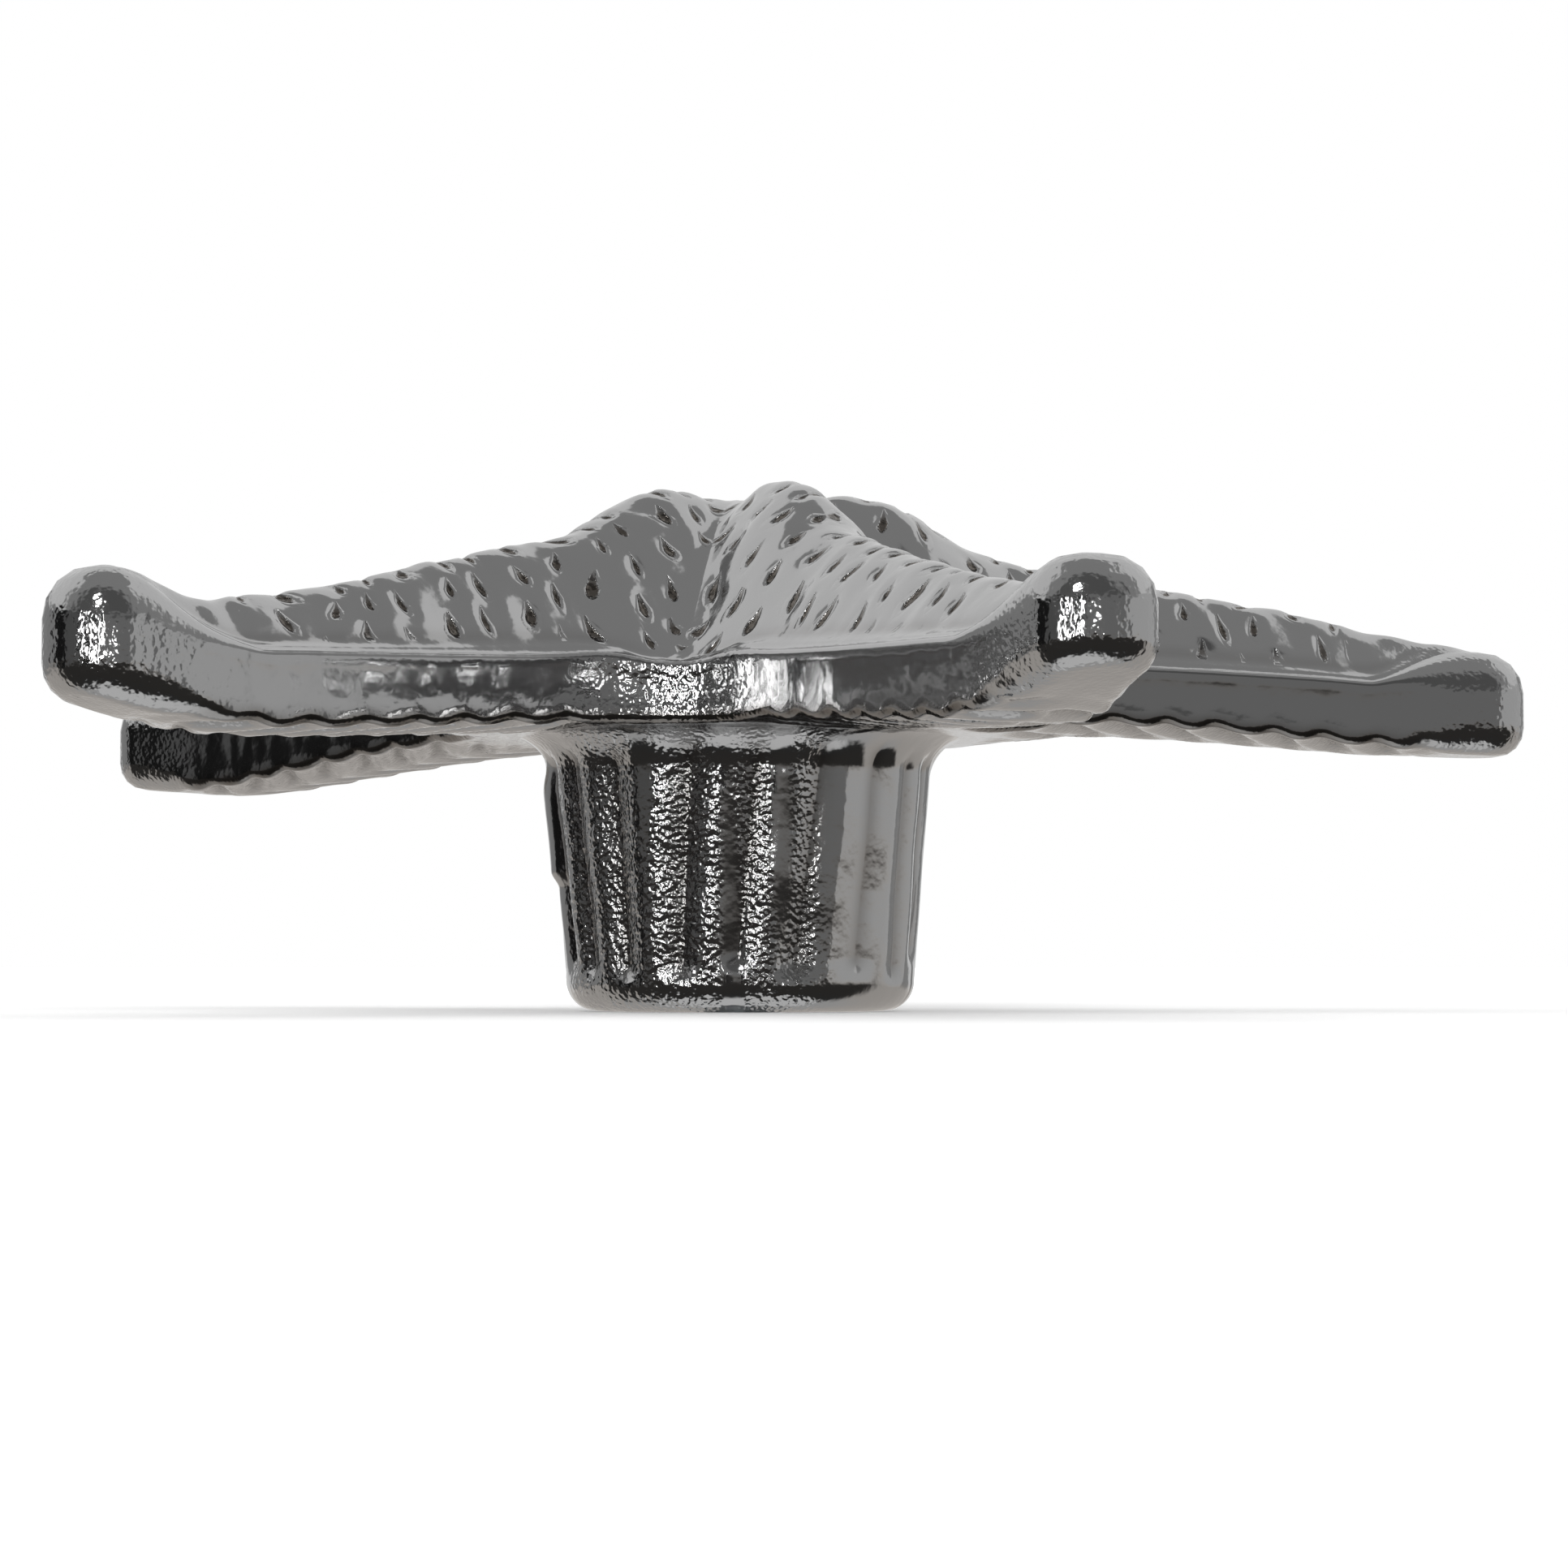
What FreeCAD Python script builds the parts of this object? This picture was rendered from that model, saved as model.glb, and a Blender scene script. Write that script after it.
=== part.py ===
"""Starfish cabinet knob: a one-piece cast head on a fluted post, with its fixing screw.

Frame, in millimetres: the origin is the centre of the post's seat face, +Z points away
from the drawer front and -Y points between the two arms that curl up. The seat face lies
on the drawer front, and the screw and washer are on the far side of that front.
"""
import FreeCAD
import Part
import math
import os
from collections import namedtuple

Vec = FreeCAD.Vector
Z_AXIS = Vec(0, 0, 1)

# --- casting: overall sizes ---------------------------------------------------------------
PROJECTION = 25.4           # seat face to the top of the crown
UNDERSIDE_HEIGHT = 13.3     # seat face to the underside of the arms
RIM_HEIGHT = 3.0            # upright band round the star
TIP_RISE = 1.7              # ridge above the band at an arm's tip
RIDGE_FALL_POWER = 1.6      # how quickly the ridge falls from the crown
ARM_START = 4.5             # from the axis, inside the crown
CROWN_RADIUS = 10.0         # round boss that the five ridges run out of

# --- casting: arms ------------------------------------------------------------------------
ROOT_HALF_WIDTH = 8.6       # where an arm meets its neighbours
NECK_HALF_WIDTH = 6.0       # just past the notch
TIP_HALF_WIDTH = 3.2
NECK_DISTANCE = 13.5        # from the axis, where the arm becomes a plain taper
TIP_LENGTH = 3.4            # rounded end
BEND_START = 12.0           # from the axis, where an arm starts to lift or droop
CURL_LENGTH = 9.0           # last stretch of an arm, which turns up
ROOT_SPANS = 3              # sections across an arm, up to the neck and past it
TAPER_SPANS = 8

ARM_REACH = 39.0            # from the axis to the end of a tip
FRONT_CURL = 3.4            # how far the two front tips turn up
BACK_CURL = 0.5             # the same, for the other three

Arm = namedtuple("Arm", "heading reach droop curl")
ARM_PITCH = 360.0 / 5
FRONT = -90.0               # heading of the gap between the two curled arms
ARMS = [
    Arm(heading=FRONT - 0.5 * ARM_PITCH, reach=ARM_REACH, droop=0.9, curl=FRONT_CURL),
    Arm(heading=FRONT + 0.5 * ARM_PITCH, reach=ARM_REACH, droop=0.9, curl=FRONT_CURL),
    Arm(heading=FRONT + 1.5 * ARM_PITCH, reach=ARM_REACH, droop=1.3, curl=BACK_CURL),
    Arm(heading=FRONT + 2.5 * ARM_PITCH, reach=ARM_REACH, droop=1.3, curl=BACK_CURL),
    Arm(heading=FRONT + 3.5 * ARM_PITCH, reach=ARM_REACH, droop=2.4, curl=BACK_CURL),
]

# --- casting: post ------------------------------------------------------------------------
FOOT_RADIUS = 8.5
NECK_RADIUS = 9.3
FOOT_ROUND = 1.1            # rounded lower edge of the post
FLARE_RADIUS = 1.4          # fillet from the post into the underside
FLUTE_COUNT = 19
FLUTE_RADIUS = 0.75
FLUTE_DEPTH = 0.35
FLUTE_FOOT = 2.0            # foot of a flute above the seat face
FLUTE_TOP_GAP = 1.6         # top of a flute below the underside

# --- threaded insert ----------------------------------------------------------------------
INSERT_RADIUS = 3.2
INSERT_LENGTH = 11.0
INSERT_GROOVE_DEPTH = 0.4
INSERT_GROOVE_WIDTH = 1.5
INSERT_GROOVE_HEIGHT = 5.0  # middle of the groove above the seat face
MOUTH_CHAMFER = 0.4

# --- screw, washer and the front between them ---------------------------------------------
THREAD_CORE_RADIUS = 1.6    # engaged end of the screw, drawn at the thread's core
THREAD_CLEARANCE = 0.05     # between that core and the insert's bore
GRIP_RADIUS = 1.95          # the screw where it passes through the front
ENGAGEMENT = 9.5            # length of screw inside the insert
FRONT_THICKNESS = 19.0      # drawer front that the knob is fixed to
WASHER_RADIUS = 4.5
WASHER_BORE_CLEARANCE = 0.2
WASHER_THICKNESS = 0.8
HEAD_RADIUS = 4.0
HEAD_HEIGHT = 2.6
HEAD_ROUND = 1.0
HEAD_GAP = 0.1              # between the head and the washer
RECESS_WIDTH = 1.0
RECESS_LENGTH = 4.4
RECESS_DEPTH = 1.5

# --- derived sizes ------------------------------------------------------------------------
RIM_TOP = UNDERSIDE_HEIGHT + RIM_HEIGHT
CROWN_RISE = PROJECTION - RIM_TOP
WASHER_TOP = -FRONT_THICKNESS
HEAD_TOP = WASHER_TOP - WASHER_THICKNESS - HEAD_GAP
BORE_RADIUS = THREAD_CORE_RADIUS + THREAD_CLEARANCE


def smooth_step(value):
    """0 below 0, 1 above 1, and a smooth rise between."""
    value = min(1.0, max(0.0, value))
    return value * value * (3.0 - 2.0 * value)


def arm_lift(arm, distance):
    """Height that the arm's bent spine adds at a distance from the axis."""
    run = max(0.0, distance - BEND_START) / (arm.reach - BEND_START)
    turn_up = max(0.0, distance - (arm.reach - CURL_LENGTH)) / CURL_LENGTH
    return arm.curl * turn_up ** 2 - arm.droop * run ** 1.5


def arm_half_width(arm, distance):
    """Half width in plan: wide at the root, then a straight taper."""
    if distance < NECK_DISTANCE:
        blend = smooth_step(distance / NECK_DISTANCE)
        return ROOT_HALF_WIDTH + (NECK_HALF_WIDTH - ROOT_HALF_WIDTH) * blend
    run = (distance - NECK_DISTANCE) / (arm.reach - NECK_DISTANCE)
    return NECK_HALF_WIDTH + (TIP_HALF_WIDTH - NECK_HALF_WIDTH) * run


def ridge_rise(arm, distance):
    """Height of the ridge above the band, falling from the crown to the tip."""
    left = 1.0 - distance / arm.reach
    return TIP_RISE + (CROWN_RISE - TIP_RISE) * max(0.0, left) ** RIDGE_FALL_POWER


def arm_section(arm, distance, closing):
    """Closed outline across an arm; closing, from 1 to 0, rounds off the tip."""
    half = arm_half_width(arm, distance) * closing
    low = UNDERSIDE_HEIGHT + arm_lift(arm, distance)
    band_top = low + RIM_HEIGHT
    crest = band_top + ridge_rise(arm, distance)
    middle = (low + crest) / 2
    shrink = closing ** 0.6
    low = middle + (low - middle) * shrink
    band_top = middle + (band_top - middle) * shrink
    crest = middle + (crest - middle) * shrink
    shoulder = band_top + 0.62 * (crest - band_top)
    left_low = Vec(distance, -half, low)
    right_low = Vec(distance, half, low)
    left_band = Vec(distance, -half, band_top)
    right_band = Vec(distance, half, band_top)
    back = Part.BSplineCurve()
    back.interpolate([
        right_band,
        Vec(distance, 0.58 * half, shoulder),
        Vec(distance, 0, crest),
        Vec(distance, -0.58 * half, shoulder),
        left_band,
    ])
    return Part.Wire([
        Part.makeLine(left_low, right_low),
        Part.makeLine(right_low, right_band),
        back.toShape(),
        Part.makeLine(left_band, left_low),
    ])


def make_arm(arm):
    """One arm, lofted along its bent spine and turned to its heading."""
    tip_start = arm.reach - TIP_LENGTH
    root_span = (NECK_DISTANCE - ARM_START) / ROOT_SPANS
    taper_span = (tip_start - NECK_DISTANCE) / TAPER_SPANS
    stations = [ARM_START + root_span * step for step in range(ROOT_SPANS)]
    stations += [NECK_DISTANCE + taper_span * step for step in range(TAPER_SPANS + 1)]
    sections = [arm_section(arm, station, 1.0) for station in stations]
    for angle in (18, 36, 52, 66, 78):
        turn = math.radians(angle)
        station = tip_start + TIP_LENGTH * math.sin(turn)
        sections.append(arm_section(arm, station, math.cos(turn)))
    solid = Part.makeLoft(sections, True, True)
    solid.rotate(Vec(0, 0, 0), Z_AXIS, arm.heading)
    return solid


def make_crown():
    """Domed boss at the centre, a quarter of a super-ellipse turned round the axis."""
    sunk = UNDERSIDE_HEIGHT + RIM_HEIGHT / 3
    points = []
    steps = 8
    for step in range(steps + 1):
        angle = math.radians(90.0 * step / steps)
        radius = CROWN_RADIUS * math.sin(angle)
        rise = CROWN_RISE * math.cos(angle) ** 0.9 if step < steps else 0.0
        points.append(Vec(radius, 0, RIM_TOP + rise))
    dome = Part.BSplineCurve()
    dome.interpolate(points)
    outline = Part.Wire([
        dome.toShape(),
        Part.makeLine(points[-1], Vec(CROWN_RADIUS, 0, sunk)),
        Part.makeLine(Vec(CROWN_RADIUS, 0, sunk), Vec(0, 0, sunk)),
        Part.makeLine(Vec(0, 0, sunk), points[0]),
    ])
    return Part.Face(outline).revolve(Vec(0, 0, 0), Z_AXIS, 360)


def make_post():
    """Tapered post with a rounded foot and a fillet out into the underside."""
    slope_x = math.sqrt(0.5)
    round_x = FOOT_RADIUS - FOOT_ROUND
    flare_x = NECK_RADIUS + FLARE_RADIUS
    flare_z = UNDERSIDE_HEIGHT - FLARE_RADIUS
    sunk = UNDERSIDE_HEIGHT + RIM_HEIGHT / 2
    outline = Part.Wire([
        Part.makeLine(Vec(0, 0, 0), Vec(round_x, 0, 0)),
        Part.Arc(
            Vec(round_x, 0, 0),
            Vec(round_x + FOOT_ROUND * slope_x, 0, FOOT_ROUND * (1 - slope_x)),
            Vec(FOOT_RADIUS, 0, FOOT_ROUND),
        ).toShape(),
        Part.makeLine(Vec(FOOT_RADIUS, 0, FOOT_ROUND), Vec(NECK_RADIUS, 0, flare_z)),
        Part.Arc(
            Vec(NECK_RADIUS, 0, flare_z),
            Vec(flare_x - FLARE_RADIUS * slope_x, 0, flare_z + FLARE_RADIUS * slope_x),
            Vec(flare_x, 0, UNDERSIDE_HEIGHT),
        ).toShape(),
        Part.makeLine(Vec(flare_x, 0, UNDERSIDE_HEIGHT), Vec(flare_x, 0, sunk)),
        Part.makeLine(Vec(flare_x, 0, sunk), Vec(0, 0, sunk)),
        Part.makeLine(Vec(0, 0, sunk), Vec(0, 0, 0)),
    ])
    return Part.Face(outline).revolve(Vec(0, 0, 0), Z_AXIS, 360)


def post_radius(height):
    """Radius of the post's tapered wall at a height."""
    run = (height - FOOT_ROUND) / (UNDERSIDE_HEIGHT - FLARE_RADIUS - FOOT_ROUND)
    return FOOT_RADIUS + (NECK_RADIUS - FOOT_RADIUS) * run


def make_flute():
    """Round-ended cutter for one flute, leaning with the post's taper."""
    offset = FLUTE_RADIUS - FLUTE_DEPTH
    top_height = UNDERSIDE_HEIGHT - FLUTE_TOP_GAP
    foot = Vec(post_radius(FLUTE_FOOT) + offset, 0, FLUTE_FOOT)
    top = Vec(post_radius(top_height) + offset, 0, top_height)
    run = top - foot
    bar = Part.makeCylinder(FLUTE_RADIUS, run.Length, foot, run)
    return bar.fuse(Part.makeSphere(FLUTE_RADIUS, foot))


def make_insert_blank():
    """Outside shape of the insert: a cylinder with a groove that locks it in the post."""
    blank = Part.makeCylinder(INSERT_RADIUS, INSERT_LENGTH)
    groove_foot = INSERT_GROOVE_HEIGHT - INSERT_GROOVE_WIDTH / 2
    ring = Part.makeCylinder(INSERT_RADIUS + 1, INSERT_GROOVE_WIDTH, Vec(0, 0, groove_foot))
    core = Part.makeCylinder(
        INSERT_RADIUS - INSERT_GROOVE_DEPTH, INSERT_GROOVE_WIDTH, Vec(0, 0, groove_foot))
    return blank.cut(ring.cut(core))


def make_casting():
    """Star head and fluted post in one piece, with the pocket that holds the insert."""
    body = make_crown()
    for arm in ARMS:
        body = body.fuse(make_arm(arm))
    body = body.fuse(make_post())
    flutes = []
    for index in range(FLUTE_COUNT):
        flute = make_flute()
        flute.rotate(Vec(0, 0, 0), Z_AXIS, 360.0 * index / FLUTE_COUNT)
        flutes.append(flute)
    body = body.cut(flutes)
    return body.cut(make_insert_blank())


def make_insert():
    """Steel bush with a chamfered bore at the thread's core size."""
    bore = Part.makeCylinder(BORE_RADIUS, INSERT_LENGTH)
    mouth = Part.makeCone(BORE_RADIUS + MOUTH_CHAMFER, BORE_RADIUS, MOUTH_CHAMFER)
    return make_insert_blank().cut(bore).cut(mouth)


def make_washer():
    """Plain washer between the front's far face and the screw's head."""
    foot = Vec(0, 0, WASHER_TOP - WASHER_THICKNESS)
    disc = Part.makeCylinder(WASHER_RADIUS, WASHER_THICKNESS, foot)
    hole = Part.makeCylinder(GRIP_RADIUS + WASHER_BORE_CLEARANCE, WASHER_THICKNESS, foot)
    return disc.cut(hole)


def make_screw():
    """Pan-head screw: domed head with a cross recess, plain grip and engaged end."""
    foot = HEAD_TOP - HEAD_HEIGHT
    head = Part.makeCylinder(HEAD_RADIUS, HEAD_HEIGHT, Vec(0, 0, foot))
    rim = [edge for edge in head.Edges if edge.Closed and abs(edge.BoundBox.ZMax - foot) < 0.01]
    head = head.makeFillet(HEAD_ROUND, rim)
    for angle in (0, 90):
        slot = Part.makeBox(
            RECESS_LENGTH, RECESS_WIDTH, RECESS_DEPTH,
            Vec(-RECESS_LENGTH / 2, -RECESS_WIDTH / 2, foot))
        slot.rotate(Vec(0, 0, 0), Z_AXIS, angle)
        head = head.cut(slot)
    relief = Part.makeCylinder(THREAD_CORE_RADIUS, WASHER_TOP - HEAD_TOP, Vec(0, 0, HEAD_TOP))
    grip = Part.makeCylinder(GRIP_RADIUS, FRONT_THICKNESS, Vec(0, 0, WASHER_TOP))
    core = Part.makeCylinder(THREAD_CORE_RADIUS, ENGAGEMENT)
    return head.fuse([relief, grip, core])


def save(name, shape):
    """Write one named piece to its own file."""
    shape.exportStep("parts/" + name + ".step")
    print(name, "solids", len(shape.Solids), "valid", shape.isValid(),
          "volume", round(shape.Volume, 2), "box", shape.BoundBox)


os.makedirs("parts", exist_ok=True)
save("knob_casting", make_casting())
save("threaded_insert", make_insert())
save("plain_washer", make_washer())
save("mounting_screw", make_screw())
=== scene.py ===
"""Looks of the starfish cabinet knob: cast head, fluted post and the fixing screw.

Sizes are in millimetres, in the part's own frame, and become metres where a mesh is made.
The frame's +Z runs from the seat face out through the crown, and -Y runs between the two
arms that curl up.
"""
import logging
from dataclasses import dataclass, field
from enum import Enum
from typing import Any, Iterable, Sequence

import bpy
import numpy as np
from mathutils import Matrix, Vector


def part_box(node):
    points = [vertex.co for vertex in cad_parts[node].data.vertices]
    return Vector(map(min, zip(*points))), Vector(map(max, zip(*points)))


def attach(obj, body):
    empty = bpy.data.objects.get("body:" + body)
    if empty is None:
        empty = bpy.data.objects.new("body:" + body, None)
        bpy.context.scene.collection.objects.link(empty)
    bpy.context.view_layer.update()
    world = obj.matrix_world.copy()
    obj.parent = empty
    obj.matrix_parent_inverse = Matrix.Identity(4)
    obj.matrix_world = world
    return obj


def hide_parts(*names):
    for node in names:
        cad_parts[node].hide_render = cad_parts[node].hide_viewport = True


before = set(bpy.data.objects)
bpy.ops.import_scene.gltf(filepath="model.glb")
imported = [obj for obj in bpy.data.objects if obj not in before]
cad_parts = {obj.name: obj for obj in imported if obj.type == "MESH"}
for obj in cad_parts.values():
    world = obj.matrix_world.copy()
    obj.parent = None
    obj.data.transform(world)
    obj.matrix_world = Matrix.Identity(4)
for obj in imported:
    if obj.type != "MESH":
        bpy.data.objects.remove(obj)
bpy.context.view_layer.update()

MM = 0.001
QUARTER_TURN = 0.5 * np.pi
FULL_TURN = 2.0 * np.pi
log = logging.getLogger("starfish_knob")
Array = np.ndarray


# ----------------------------------------------------------------------------------------
# Mesh helpers
# ----------------------------------------------------------------------------------------
def smooth(low: float, high: float, value: Array) -> Array:
    """Smooth step: 0 at low, 1 at high, three t squared less two t cubed between.

    Args:
        low: Value where the step starts.
        high: Value where it ends.
        value: Where it is read.

    Returns:
        The step at each value.
    """
    t = np.clip((np.asarray(value, float) - low) / (high - low), 0.0, 1.0)
    return t * t * (3.0 - 2.0 * t)


def bump(centre: float, width: float, value: Array) -> Array:
    """Bell curve: e to the minus of the squared distance from centre over width."""
    return np.exp(-(((np.asarray(value, float) - centre) / width) ** 2))


def wander(u: Array, v: Array, seed: int, waves: int, low: float, high: float) -> Array:
    """Smooth, aimless variation: the mean of plane sine waves with seeded headings.

    Args:
        u: First coordinate.
        v: Second coordinate.
        seed: Fixes the waves.
        waves: How many waves are added.
        low: Shortest wavelength, in the units of u and v.
        high: Longest wavelength.

    Returns:
        Values between about -1 and 1.
    """
    rng = np.random.default_rng(seed)
    length = rng.uniform(low, high, waves)
    angle = rng.uniform(0.0, FULL_TURN, waves)
    phase = rng.uniform(0.0, FULL_TURN, waves)
    total = np.zeros(np.broadcast(u, v).shape)
    for wave in range(waves):
        along = u * np.cos(angle[wave]) + v * np.sin(angle[wave])
        total += np.sin(FULL_TURN * along / length[wave] + phase[wave])
    return total / np.sqrt(waves)


def grid_faces(rows: int, columns: int, around: bool = False) -> Array:
    """Corner numbers of the quads of a grid whose points run row by row.

    Args:
        rows: Points along the first parameter.
        columns: Points along the second parameter.
        around: Joins the last column to the first.

    Returns:
        One row of four point numbers for each quad.
    """
    first = np.arange(rows - 1)[:, None] * columns
    last = columns if around else columns - 1
    here = np.arange(last)[None, :]
    there = (here + 1) % columns
    corners = (first + here, first + there, first + columns + there, first + columns + here)
    return np.stack([c.ravel() for c in corners], axis=1)


@dataclass
class Sheet:
    """Points, the quads between them, and named values at the points."""

    points: Array
    faces: Array
    values: dict[str, Array] = field(default_factory=dict)

    @classmethod
    def from_grid(
        cls, points: Array, values: dict[str, Array], flip: bool = False, around: bool = False
    ) -> "Sheet":
        """Make a sheet from a grid of points.

        Args:
            points: Rows by columns by three.
            values: Rows by columns for each named value.
            flip: Turns the faces over.
            around: Joins the last column to the first.

        Returns:
            The sheet.
        """
        rows, columns = points.shape[:2]
        faces = grid_faces(rows, columns, around)
        if flip:
            faces = faces[:, ::-1]
        flat = {name: value.reshape(-1) for name, value in values.items()}
        return cls(points.reshape(-1, 3), faces, flat)


def weld(sheets: Sequence[Sheet], step: float = 1e-3) -> Sheet:
    """Join sheets whose edges meet: points that round to the same step become one.

    Args:
        sheets: Sheets with the same named values.
        step: Rounding, in millimetres.

    Returns:
        One sheet without doubled points.
    """
    points = np.concatenate([s.points for s in sheets])
    offsets = np.cumsum([0] + [len(s.points) for s in sheets[:-1]])
    faces = np.concatenate([s.faces + o for s, o in zip(sheets, offsets)])
    keys = np.round(points / step).astype(np.int64)
    _, first, again = np.unique(keys, axis=0, return_index=True, return_inverse=True)
    names = sheets[0].values
    values = {n: np.concatenate([s.values[n] for s in sheets])[first] for n in names}
    return Sheet(points[first], again.reshape(-1)[faces], values)


def build_mesh(name: str, sheet: Sheet) -> bpy.types.Object:
    """Turn a welded sheet into a smooth object; a quad with two equal corners is a triangle.

    Args:
        name: Name of the piece.
        sheet: Its surface, in millimetres.

    Returns:
        The object, at the origin.
    """
    quads = sheet.faces
    same = quads == np.roll(quads, -1, axis=1)
    whole = quads[~same.any(axis=1)]
    thin = quads[same.sum(axis=1) == 1]
    keep = ~same[same.sum(axis=1) == 1]
    triangles = thin[keep].reshape(-1, 3)
    loops = np.concatenate([whole.ravel(), triangles.ravel()]).astype(np.int32)
    starts = np.concatenate([
        np.arange(len(whole)) * 4,
        len(whole) * 4 + np.arange(len(triangles)) * 3,
    ]).astype(np.int32)
    mesh = bpy.data.meshes.new(name)
    mesh.vertices.add(len(sheet.points))
    mesh.vertices.foreach_set("co", (sheet.points * MM).astype(np.float32).ravel())
    mesh.loops.add(len(loops))
    mesh.loops.foreach_set("vertex_index", loops)
    mesh.polygons.add(len(starts))
    mesh.polygons.foreach_set("loop_start", starts)
    mesh.polygons.foreach_set("use_smooth", np.ones(len(starts), bool))
    mesh.update(calc_edges=True)
    mesh.validate()
    for label, value in sheet.values.items():
        layer = mesh.attributes.new(label, "FLOAT", "POINT")
        layer.data.foreach_set("value", value.astype(np.float32))
    piece = bpy.data.objects.new(name, mesh)
    bpy.context.scene.collection.objects.link(piece)
    return piece


def grid_normals(points: Array) -> Array:
    """Unit normals of a grid: the cross product of its two running differences.

    Args:
        points: Rows by columns by three.

    Returns:
        A unit vector for each point.
    """
    normal = np.cross(np.gradient(points, axis=0), np.gradient(points, axis=1))
    length = np.linalg.norm(normal, axis=2, keepdims=True)
    return normal / np.maximum(length, 1e-9)


def around_axis(radius: Array, z: Array, angle: Array) -> Array:
    """Points of a profile carried round the axis: radius times cosine and sine, and height.

    Args:
        radius: Radii, one for each row or for each row and column.
        z: Heights, in the same way.
        angle: One row of angles, in radians.

    Returns:
        Rows by columns by three.
    """
    whole = np.ones_like(radius * angle) * np.ones_like(z)
    x, y = radius * np.cos(angle), radius * np.sin(angle)
    return np.stack([x * whole, y * whole, z * whole], axis=2)


def full_circle(columns: int) -> Array:
    """One row of evenly spaced angles, without the last, which is the first again."""
    return np.linspace(0.0, FULL_TURN, columns, endpoint=False)[None, :]


# ----------------------------------------------------------------------------------------
# Shader helpers
# ----------------------------------------------------------------------------------------
class Term:
    """A shader value that can be used in ordinary arithmetic."""

    def __init__(self, kit: "NodeKit", socket: bpy.types.NodeSocket) -> None:
        """Wrap one output socket of a node tree."""
        self.kit = kit
        self.socket = socket

    def _maths(self, operation: str, first: Any, second: Any) -> "Term":
        """Add a Math node for one operation on two values."""
        return self.kit.node(
            "ShaderNodeMath", {"operation": operation}, {0: first, 1: second})

    def __add__(self, other: Any) -> "Term":
        """This plus other."""
        return self._maths("ADD", self, other)

    def __radd__(self, other: Any) -> "Term":
        """Other plus this."""
        return self._maths("ADD", other, self)

    def __sub__(self, other: Any) -> "Term":
        """This less other."""
        return self._maths("SUBTRACT", self, other)

    def __rsub__(self, other: Any) -> "Term":
        """Other less this."""
        return self._maths("SUBTRACT", other, self)

    def __mul__(self, other: Any) -> "Term":
        """This times other."""
        return self._maths("MULTIPLY", self, other)

    def __rmul__(self, other: Any) -> "Term":
        """Other times this."""
        return self._maths("MULTIPLY", other, self)

    def __truediv__(self, other: Any) -> "Term":
        """This over other."""
        return self._maths("DIVIDE", self, other)

    def most(self, other: Any) -> "Term":
        """The larger of this and other."""
        return self._maths("MAXIMUM", self, other)

    def least(self, other: Any) -> "Term":
        """The smaller of this and other."""
        return self._maths("MINIMUM", self, other)

    def whole(self) -> "Term":
        """Nearest whole number."""
        return self._maths("ROUND", self, 0.0)

    def toward(self, other: Any, share: Any) -> "Term":
        """This where share is 0, other where share is 1."""
        return self + (other - self) * share

    def above(self, low: float, high: float) -> "Term":
        """Smooth step from 0 at low to 1 at high."""
        settings = {"interpolation_type": "SMOOTHSTEP"}
        return self.kit.node("ShaderNodeMapRange", settings, {0: self, 1: low, 2: high})


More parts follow.
